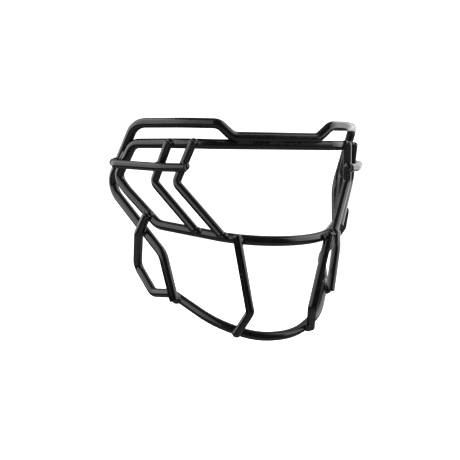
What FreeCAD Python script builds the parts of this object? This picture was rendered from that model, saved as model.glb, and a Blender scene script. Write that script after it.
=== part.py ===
"""Football face guard: bent steel wires, welded where they cross, under one black coat.

Frame, in millimetres: +X towards the wearer's left, -Y forwards, +Z up.
The origin is on the centreline, in the middle of the brow wire's low run,
where the helmet's front clip grips the guard.
"""
import FreeCAD, Part
import math
import os
from FreeCAD import Placement, Rotation, Vector

# Driving dimensions
HEAVY_WIRE = 7.6        # coated diameter of the brow wire and the eye loop
CHIN_WIRE = 7.3         # coated diameter of the chin wire
BAR_WIRE = 6.6          # coated diameter of the short bars
END_ROUND = 0.2         # rounding of a cut end under the coat, as a share of the wire's diameter
BEAD_WIDTH = 1.1        # width of a weld bead beyond the edge of the joint
BEAD_LIMIT = 1.15       # largest radius of a bead, as a share of the radius of the wire above it
LAP_SETBACK = 2.0       # distance from a cheek bar's top back to the bead under it
TACK_RADIUS = 3.3       # reach of a tack into the grooves beside a long contact
TACK_LENGTH = 13.0      # length of a tack between two wires that lie side by side
TACK_PITCH = 26.0       # spacing of the three tacks along the brow
TOUCH = 0.01            # shapes closer than this touch

# Bend points of the wearer's left half, as (x, y, z, bend radius).
# The brow wire, the eye loop and the chin wire start on the centreline, level with
# their first bend, and the right half mirrors the left.
BROW_BENDS = [
    (35.1, 0.0, 0.0, 10),           # foot of the ramp, beside the front clip
    (46.0, 0.4, 9.4, 8),            # top of the ramp
    (68.0, 15.0, 10.3, 60),         # gentle sweep back along the temple
    (95.2, 50.8, 11.4, 20),         # upper rear corner
    (103.4, 87.3, -27.2, 13),       # rear bend, upper half
    (104.1, 95.5, -38.6, 13),       # rear bend, lower half
    (76.2, 43.3, -89.1, 12),        # cheek bend
    (68.4, 39.0, -126.0, 0),        # cut end, in front of the chin wire
]
BROW_SIDE, BROW_CHEEK, BROW_TAIL = 3, 5, 6      # where these three legs start
EYE_LOOP_BENDS = [
    (49.7, 3.0, -5.5, 10),          # end of the straight under the brow wire
    (66.7, 11.4, -4.9, 55),         # gentle sweep back along the temple
    (95.2, 57.2, -3.9, 14),         # upper rear corner
    (102.1, 80.4, -29.6, 7),        # side kink
    (96.8, 72.6, -40.1, 60),        # gentle sweep down the cheek
    (79.0, 45.0, -66.4, 15),        # lower rear corner
    (30.0, -19.1, -76.1, 59),       # round of the nose bar
]
LOOP_SIDE = 2                                   # where the leg beside the brow wire starts
CHIN_BENDS = [
    (15.8, 0.2, -150.7, 47),        # front of the chin
    (44.0, 15.6, -140.1, 65),       # side of the chin
    (67.5, 47.7, -121.1, 14),       # bend behind the brow wire's end
    (77.4, 66.4, -122.8, 8),        # lower kink
    (85.2, 86.3, -102.3, 7),        # jaw angle
    (91.0, 59.5, -73.8, 8),         # bend below the crossing
    (86.9, 47.7, -57.5, 0),         # upper end, lapped on the eye loop
]
CHIN_TAIL = 5                                   # where the leg to the upper end starts
JAW_BAR = [(37.9, -14.4, -70.9, 0), (25.4, -10.5, -129.0, 6), (31.5, 2.9, -147.9, 0)]
REAR_CHEEK_BAR = [(77.9, 19.3, -2.9, 0), (84.6, 36.8, -33.4, 5), (60.3, 11.4, -69.3, 0)]
FRONT_CHEEK_BAR = [(63.7, 5.0, -2.9, 0), (72.5, 20.3, -33.7, 5), (45.9, -6.4, -72.3, 0)]
CLIP_BAR = [
    (68.0, 8.7, -22.7, 0),          # cut end, on the front cheek bar
    (83.7, 22.8, -22.3, 40),        # gentle bend at the rear cheek bar
    (108.4, 61.8, -19.8, 8),        # hook that turns in to the brow wire
    (106.6, 76.8, -18.3, 0),        # cut end, on the brow wire
]


def spot(point):
    """A bend point's position."""
    return Vector(*point[:3])


def from_centreline(bends):
    """A run that starts on the centreline, level with its first bend."""
    return [(0, bends[0][1], bends[0][2], 0)] + bends


def bend_arc(points, index):
    """Start, end and centre of the arc that rounds one bend point."""
    here = spot(points[index])
    radius = points[index][3]
    back = (spot(points[index - 1]) - here).normalize()
    ahead = (spot(points[index + 1]) - here).normalize()
    half_turn = (math.pi - back.getAngle(ahead)) / 2
    tangent = radius * math.tan(half_turn)
    centre = here + (back + ahead).normalize() * (radius / math.cos(half_turn))
    return here + back * tangent, here + ahead * tangent, centre


def straight_rod(start, end, diameter):
    run = end - start
    return Part.makeCylinder(diameter / 2, run.Length, start, run)


def bent_rod(start, end, centre, diameter):
    """One bend of a wire: its round section turned about the arc's axis."""
    axis = (start - centre).cross(end - centre)
    turn = math.degrees((start - centre).getAngle(end - centre))
    section = Part.Circle(start, axis.cross(start - centre), diameter / 2)
    return Part.Face(Part.Wire(section.toShape())).revolve(centre, axis, turn)


def wire(points, diameter):
    """A bent wire: straight rods joined by tangent bends, with square ends."""
    rods = []
    last = spot(points[0])
    for index in range(1, len(points) - 1):
        start, end, centre = bend_arc(points, index)
        rods.append(straight_rod(last, start, diameter))
        rods.append(bent_rod(start, end, centre, diameter))
        last = end
    rods.append(straight_rod(last, spot(points[-1]), diameter))
    return rods[0].fuse(rods[1:]).removeSplitter()


def round_end(solid, point, diameter):
    """The wire with the rim of its cut end at this point rounded over."""
    rims = [edge for edge in solid.Edges if edge.CenterOfMass.isEqual(spot(point), TOUCH)]
    return solid.makeFillet(diameter * END_ROUND, rims)


def mirrored(shape):
    """The same shape on the wearer's right."""
    return shape.mirror(Vector(0, 0, 0), Vector(1, 0, 0))


def both_halves(half):
    return half.fuse(mirrored(half)).removeSplitter()


def short_bar(points):
    bar = round_end(wire(points, BAR_WIRE), points[0], BAR_WIRE)
    return round_end(bar, points[-1], BAR_WIRE)


def brow_wire():
    half = wire(from_centreline(BROW_BENDS), HEAVY_WIRE)
    return both_halves(round_end(half, BROW_BENDS[-1], HEAVY_WIRE))


def eye_loop():
    nose = EYE_LOOP_BENDS[-1]
    half = wire(from_centreline(EYE_LOOP_BENDS) + [(0, nose[1], nose[2], 0)], HEAVY_WIRE)
    return both_halves(half)


def chin_wire():
    half = wire(from_centreline(CHIN_BENDS), CHIN_WIRE)
    return both_halves(round_end(half, CHIN_BENDS[-1], CHIN_WIRE))


def centreline(points):
    """A run's straights and arcs as one path."""
    edges = []
    last = spot(points[0])
    for index in range(1, len(points) - 1):
        start, end, centre = bend_arc(points, index)
        outward = ((start + end) / 2 - centre).normalize()
        edges.append(Part.LineSegment(last, start).toShape())
        edges.append(Part.Arc(start, centre + outward * points[index][3], end).toShape())
        last = end
    edges.append(Part.LineSegment(last, spot(points[-1])).toShape())
    return Part.Wire(edges)


def leg(points, index):
    """The line from one bend point to the next."""
    return Part.makeLine(spot(points[index]), spot(points[index + 1]))


def tip(points, index):
    """The middle of a cut end."""
    return Part.Vertex(spot(points[index]))


def below_top(points, setback):
    """The place on a bar this far down from its upper cut end."""
    top = spot(points[0])
    return Part.Vertex(top + (spot(points[1]) - top).normalize() * setback)


def bead(lower, lower_diameter, upper, upper_diameter):
    """A ball of weld metal where the upper wire crosses or ends on the lower one."""
    gap, nearest, _ = lower.distToShape(upper)
    on_lower, on_upper = nearest[0]
    outward = (on_upper - on_lower).normalize()
    share = lower_diameter / (lower_diameter + upper_diameter)
    overlap = (lower_diameter + upper_diameter) / 2 - gap
    joint_radius = math.sqrt(overlap * (upper_diameter - overlap))
    radius = min(joint_radius + BEAD_WIDTH, upper_diameter / 2 * BEAD_LIMIT)
    ball = Part.makeSphere(radius)
    ball.Placement = Placement(on_lower + outward * (gap * share), Rotation(Vector(0, 0, 1), outward))
    return ball


def tack(middle, along):
    """A short rod of weld metal on the line where two wires lie side by side."""
    start = middle - along * (TACK_LENGTH / 2)
    return Part.makeCylinder(TACK_RADIUS, TACK_LENGTH, start, along)


def brow_tacks():
    """Three tacks between the brow wire's low run and the eye loop below it."""
    seam = (spot(BROW_BENDS[0]) + spot(EYE_LOOP_BENDS[0])) / 2
    places = [Vector(step * TACK_PITCH, seam.y, seam.z) for step in (-1, 0, 1)]
    return [tack(place, Vector(1, 0, 0)) for place in places]


def temple_tack(brow_bends, loop_bends):
    """The tack where the brow wire comes down against the eye loop's side."""
    side = leg(loop_bends, LOOP_SIDE)
    middle = side.CenterOfMass
    _, nearest, _ = Part.Vertex(middle).distToShape(leg(brow_bends, BROW_SIDE))
    return tack((middle + nearest[0][1]) / 2, side.tangentAt(0))


def side_welds(side):
    """The welds on the wearer's left (side 1) or right (side -1), grouped by joint."""
    brow, loop, chin, jaw_bar, rear_cheek, front_cheek, clip_bar = (
        [(side * x, y, z, bend) for x, y, z, bend in points]
        for points in (BROW_BENDS, EYE_LOOP_BENDS, CHIN_BENDS, JAW_BAR,
                       REAR_CHEEK_BAR, FRONT_CHEEK_BAR, CLIP_BAR)
    )
    brow_path = centreline(from_centreline(brow))
    loop_path = centreline(from_centreline(loop))
    chin_path = centreline(from_centreline(chin))
    tops = (below_top(rear_cheek, LAP_SETBACK), below_top(front_cheek, LAP_SETBACK))
    feet = (tip(rear_cheek, -1), tip(front_cheek, -1))
    return {
        "temple_tack_welds": [temple_tack(brow, loop)],
        "cheek_bar_top_welds": [bead(loop_path, HEAVY_WIRE, top, BAR_WIRE) for top in tops],
        "cheek_bar_foot_welds": [bead(loop_path, HEAVY_WIRE, foot, BAR_WIRE) for foot in feet],
        "clip_bar_front_welds": [
            bead(leg(front_cheek, 0), BAR_WIRE, tip(clip_bar, 0), BAR_WIRE),
            bead(leg(rear_cheek, 0), BAR_WIRE, centreline(clip_bar), BAR_WIRE),
        ],
        "clip_bar_rear_welds": [bead(brow_path, HEAVY_WIRE, tip(clip_bar, -1), BAR_WIRE)],
        "chin_wire_top_welds": [bead(loop_path, HEAVY_WIRE, tip(chin, -1), CHIN_WIRE)],
        "chin_wire_crossing_welds": [
            bead(leg(brow, BROW_CHEEK), HEAVY_WIRE, leg(chin, CHIN_TAIL), CHIN_WIRE),
        ],
        "brow_wire_end_welds": [bead(chin_path, CHIN_WIRE, leg(brow, BROW_TAIL), HEAVY_WIRE)],
        "jaw_bar_top_welds": [bead(loop_path, HEAVY_WIRE, leg(jaw_bar, 0), BAR_WIRE)],
        "jaw_bar_foot_welds": [bead(chin_path, CHIN_WIRE, leg(jaw_bar, 1), BAR_WIRE)],
    }


def weld_group(shapes, wires):
    """Weld metal with the wires cut out of it, as a group of separate solids."""
    solids = []
    for shape in shapes:
        touched = [rod for rod in wires if rod.distToShape(shape)[0] < TOUCH]
        solids.extend(shape.cut(touched).Solids)
    return Part.makeCompound(solids)


def weld_groups(wires):
    """Every weld on the guard, one group to a kind of joint."""
    groups = {"brow_tack_welds": weld_group(brow_tacks(), wires)}
    right = side_welds(-1)
    for name, left_shapes in side_welds(1).items():
        groups[name] = weld_group(left_shapes + right[name], wires)
    return groups


def all_wires():
    """Every wire, set down into those that it sits on."""
    loop = eye_loop()
    brow = brow_wire().cut(loop)
    chin = chin_wire().cut([loop, brow])
    jaw_bar = short_bar(JAW_BAR).cut([loop, chin])
    rear_cheek_bar = short_bar(REAR_CHEEK_BAR).cut(loop)
    front_cheek_bar = short_bar(FRONT_CHEEK_BAR).cut(loop)
    clip_bar = short_bar(CLIP_BAR).cut([loop, brow, rear_cheek_bar, front_cheek_bar])
    nodes = {"eye_port_loop": loop, "brow_wire": brow, "chin_wire": chin}
    left_bars = {
        "jaw_bar": jaw_bar,
        "rear_cheek_bar": rear_cheek_bar,
        "front_cheek_bar": front_cheek_bar,
        "clip_bar": clip_bar,
    }
    for name, bar in left_bars.items():
        nodes[name + "_left"] = bar
        nodes[name + "_right"] = mirrored(bar)
    return nodes


parts = all_wires()
parts.update(weld_groups(list(parts.values())))
os.makedirs("parts", exist_ok=True)
for name, shape in parts.items():
    shape.exportStep(f"parts/{name}.step")
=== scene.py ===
"""Studio scene of the wire face guard: black coated wires and welds in a ring of soft light."""
import bpy
import math
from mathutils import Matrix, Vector


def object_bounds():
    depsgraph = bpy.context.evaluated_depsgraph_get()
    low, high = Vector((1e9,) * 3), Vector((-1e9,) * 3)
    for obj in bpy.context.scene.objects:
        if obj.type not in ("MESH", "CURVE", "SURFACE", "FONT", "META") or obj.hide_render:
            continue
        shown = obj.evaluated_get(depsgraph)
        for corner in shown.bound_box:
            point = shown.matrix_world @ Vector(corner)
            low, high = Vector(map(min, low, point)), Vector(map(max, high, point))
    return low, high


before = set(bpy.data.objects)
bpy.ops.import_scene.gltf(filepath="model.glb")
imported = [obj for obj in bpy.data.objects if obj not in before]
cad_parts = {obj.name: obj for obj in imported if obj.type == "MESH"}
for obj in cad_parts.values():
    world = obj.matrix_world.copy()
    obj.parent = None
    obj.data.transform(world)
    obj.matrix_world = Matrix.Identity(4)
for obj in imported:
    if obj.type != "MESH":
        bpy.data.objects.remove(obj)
cad_box = [list(corner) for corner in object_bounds()]

# Camera
CAMERA_YAW = 21.45              # degrees the camera looks off the guard's own forward axis
CAMERA_DROP = 4.6               # degrees the camera looks down
CAMERA_DISTANCE = 0.67          # metres from the camera to the point it looks at
CAMERA_CLIP_START = 0.01        # metres
AIM_DROP = 0.007                # metres from the guard's middle down to the point it looks at
LENS = 60.2                     # millimetres, for the sensor below
SENSOR = 36.0                   # millimetres

# Coat
WIRE_COLOUR = (0.0012, 0.0012, 0.0013)
WIRE_ROUGHNESS = 0.17
WIRE_PEEL = 0.000003            # metres, the height of the orange peel
WIRE_WAVES = 0.00001            # metres, the height of the slow waves
WELD_COLOUR = (0.0011, 0.0011, 0.0012)
WELD_ROUGHNESS = 0.24
WELD_PEEL = 0.000006
WELD_WAVES = 0.00005
COAT_IOR = 1.5
PATCH_GAIN = (1.9, 1.75, 1.6)   # how much lighter the soft patches are, in red, green and blue
GLOSS_CLEAR = 0.03              # how far under its own value the roughness goes in the clear clouds
GLOSS_DULL = 0.05               # and how far over it in the dull ones
# The coat's noises, as (features per metre, detail, roughness)
PATCH_NOISE = (90.0, 4.0, 0.6)
CLOUD_NOISE = (160.0, 3.0, 0.55)
WAVE_NOISE = (220.0, 1.0, 0.5)
PEEL_NOISE = (1100.0, 2.0, 0.5)
NOISE_LOW = 0.35                # the middle of a noise's values, which to_range spreads out
NOISE_HIGH = 0.65

# Light
LIGHT_DISTANCE = 1.1            # metres from the guard's middle to each upright panel
WALL_BOTTOM = -12               # degrees above the guard's middle where the upright panels start
WALL_TOP = 58                   # and where they end
# The panels all round, as (start, end, radiance), in degrees from the front towards the wearer's left
WALL_PANELS = (
    (-170, -150, 1.0),
    (-150, -108, 2.5),
    (-108, -68, 2.1),
    (-68, -45, 1.4),
    (-45, 32, 0.04),
    (32, 60, 2.1),
    (60, 100, 2.5),
    (100, 135, 1.8),
    (135, 162, 0.9),
    (162, 190, 0.2),
)
LEVEL_PANEL_SIZE = 2.4          # metres along each side of the dim panels above and below
CEILING_HEIGHT = 1.9            # metres from the guard's middle up to the panel above
CEILING_RADIANCE = 0.15
UNDER_FLOOR_DEPTH = 0.8         # metres from the guard's middle down to the panel below
UNDER_FLOOR_RADIANCE = 0.3
SURROUND_STRENGTH = 1.8

# Floor
FLOOR_DROP = 0.12               # metres from the lowest wire down to the floor
FLOOR_HALF_SIZE = 12.0
FLOOR_PAINT = (0.9, 0.9, 0.9, 1.0)

low = Vector(cad_box[0])
high = Vector(cad_box[1])
middle = (low + high) / 2
look_at = Vector((0.0, high.y, middle.z - AIM_DROP))


def new_material(name):
    """An empty material, with its output node."""
    material = bpy.data.materials.new(name)
    material.use_nodes = True
    nodes = material.node_tree.nodes
    nodes.clear()
    return material, nodes, nodes.new("ShaderNodeOutputMaterial")


def noise(nodes, links, coordinates, scale, detail, roughness):
    """A noise that stays with the object."""
    node = nodes.new("ShaderNodeTexNoise")
    node.inputs["Scale"].default_value = scale
    node.inputs["Detail"].default_value = detail
    node.inputs["Roughness"].default_value = roughness
    links.new(coordinates.outputs["Object"], node.inputs["Vector"])
    return node


def to_range(nodes, links, source, low_value, high_value):
    """Spreads the middle of a noise over a range of values."""
    node = nodes.new("ShaderNodeMapRange")
    node.inputs["From Min"].default_value = NOISE_LOW
    node.inputs["From Max"].default_value = NOISE_HIGH
    node.inputs["To Min"].default_value = low_value
    node.inputs["To Max"].default_value = high_value
    links.new(source.outputs["Fac"], node.inputs["Value"])
    return node.outputs["Result"]


def bump(nodes, links, relief, height):
    """A bump as high as a number of metres, in the shape of a noise."""
    node = nodes.new("ShaderNodeBump")
    node.inputs["Strength"].default_value = 1.0
    node.inputs["Distance"].default_value = height
    links.new(relief.outputs["Fac"], node.inputs["Height"])
    return node


def coat_material(name, colour, roughness, peel_height, wave_height):
    """Black powder coat: orange peel, slow waves in its thickness, and a slightly uneven gloss."""
    material, nodes, output = new_material(name)
    links = material.node_tree.links
    coordinates = nodes.new("ShaderNodeTexCoord")
    shader = nodes.new("ShaderNodeBsdfPrincipled")
    links.new(shader.outputs["BSDF"], output.inputs["Surface"])
    shader.inputs["IOR"].default_value = COAT_IOR
    shader.inputs["Metallic"].default_value = 0.0

    # colour: the black is a little browner and lighter in soft patches
    patches = noise(nodes, links, coordinates, *PATCH_NOISE)
    patch_colour = [channel * gain for channel, gain in zip(colour, PATCH_GAIN)]
    tint = nodes.new("ShaderNodeMix")
    tint.data_type = "RGBA"
    tint.inputs["A"].default_value = (*colour, 1.0)
    tint.inputs["B"].default_value = (*patch_colour, 1.0)
    links.new(to_range(nodes, links, patches, 0.0, 1.0), tint.inputs["Factor"])
    links.new(tint.outputs["Result"], shader.inputs["Base Color"])

    # gloss: duller in small clouds
    clouds = noise(nodes, links, coordinates, *CLOUD_NOISE)
    gloss = to_range(nodes, links, clouds, roughness - GLOSS_CLEAR, roughness + GLOSS_DULL)
    links.new(gloss, shader.inputs["Roughness"])

    # surface: orange peel on top of slow waves
    waves = bump(nodes, links, noise(nodes, links, coordinates, *WAVE_NOISE), wave_height)
    peel = bump(nodes, links, noise(nodes, links, coordinates, *PEEL_NOISE), peel_height)
    links.new(waves.outputs["Normal"], peel.inputs["Normal"])
    links.new(peel.outputs["Normal"], shader.inputs["Normal"])
    return material


def dress(node, material):
    """Gives a CAD node its material."""
    node.data.materials.clear()
    node.data.materials.append(material)


def panel(name, width, height, radiance, place, direction):
    """A rectangular light that faces the guard and that the camera doesn't see."""
    light = bpy.data.lights.new(name, "AREA")
    light.shape = "RECTANGLE"
    light.size = width
    light.size_y = height
    light.energy = radiance * math.pi * width * height
    holder = bpy.data.objects.new(name, light)
    bpy.context.scene.collection.objects.link(holder)
    holder.location = place
    holder.rotation_euler = direction.to_track_quat("Z", "Y").to_euler()
    holder.visible_camera = False


def wall_panel(start, end, radiance):
    """An upright panel between two azimuths: 0 is in front and 90 on the wearer's left."""
    turn = math.radians((start + end) / 2)
    direction = Vector((math.sin(turn), -math.cos(turn), 0.0))
    width = 2 * LIGHT_DISTANCE * math.tan(math.radians(end - start) / 2)
    bottom = LIGHT_DISTANCE * math.tan(math.radians(WALL_BOTTOM))
    top = LIGHT_DISTANCE * math.tan(math.radians(WALL_TOP))
    place = middle + direction * LIGHT_DISTANCE + Vector((0, 0, (bottom + top) / 2))
    panel("wall_panel", width, top - bottom, radiance, place, direction)


def level_panel(name, side, distance, radiance):
    """A level panel above the guard, where the side is 1, or below it, where the side is -1."""
    direction = Vector((0, 0, side))
    place = middle + direction * distance
    panel(name, LEVEL_PANEL_SIZE, LEVEL_PANEL_SIZE, radiance, place, direction)


def pale_floor():
    """A wide pale floor some way below the guard, which hangs level as it is worn."""
    mesh = bpy.data.meshes.new("floor")
    size = FLOOR_HALF_SIZE
    level = low.z - FLOOR_DROP
    corners = [(-size, -size, level), (size, -size, level), (size, size, level), (-size, size, level)]
    mesh.from_pydata(corners, [], [(0, 1, 2, 3)])
    floor = bpy.data.objects.new("floor", mesh)
    bpy.context.scene.collection.objects.link(floor)
    material, nodes, output = new_material("floor_paint")
    shader = nodes.new("ShaderNodeBsdfDiffuse")
    shader.inputs["Color"].default_value = FLOOR_PAINT
    material.node_tree.links.new(shader.outputs["BSDF"], output.inputs["Surface"])
    mesh.materials.append(material)
    floor.visible_glossy = False
    floor.visible_shadow = False


def white_surround():
    """Even white light from all round, which the gloss of the coat doesn't mirror."""
    world = bpy.data.worlds.new("surround")
    bpy.context.scene.world = world
    world.use_nodes = True
    background = world.node_tree.nodes["Background"]
    background.inputs["Color"].default_value = (1.0, 1.0, 1.0, 1.0)
    background.inputs["Strength"].default_value = SURROUND_STRENGTH
    world.cycles_visibility.glossy = False


def photo_camera():
    """A camera that looks at the guard from the wearer's right of centre and a little above."""
    camera = bpy.data.cameras.new("camera")
    camera.sensor_width = SENSOR
    camera.lens = LENS
    camera.clip_start = CAMERA_CLIP_START
    holder = bpy.data.objects.new("camera", camera)
    bpy.context.scene.collection.objects.link(holder)
    turn = math.radians(CAMERA_YAW)
    drop = math.radians(CAMERA_DROP)
    forwards = Vector((math.sin(turn) * math.cos(drop), math.cos(turn) * math.cos(drop), -math.sin(drop)))
    holder.location = look_at - forwards * CAMERA_DISTANCE
    holder.rotation_euler = forwards.to_track_quat("-Z", "Y").to_euler()
    bpy.context.scene.camera = holder


wire_coat = coat_material("wire_coat", WIRE_COLOUR, WIRE_ROUGHNESS, WIRE_PEEL, WIRE_WAVES)
weld_coat = coat_material("weld_coat", WELD_COLOUR, WELD_ROUGHNESS, WELD_PEEL, WELD_WAVES)
for name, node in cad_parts.items():
    dress(node, weld_coat if name.endswith("_welds") else wire_coat)

for start, end, radiance in WALL_PANELS:
    wall_panel(start, end, radiance)
level_panel("ceiling_panel", 1, CEILING_HEIGHT, CEILING_RADIANCE)
level_panel("under_floor_panel", -1, UNDER_FLOOR_DEPTH, UNDER_FLOOR_RADIANCE)
pale_floor()
white_surround()
photo_camera()
bpy.context.scene.view_settings.view_transform = "Standard"
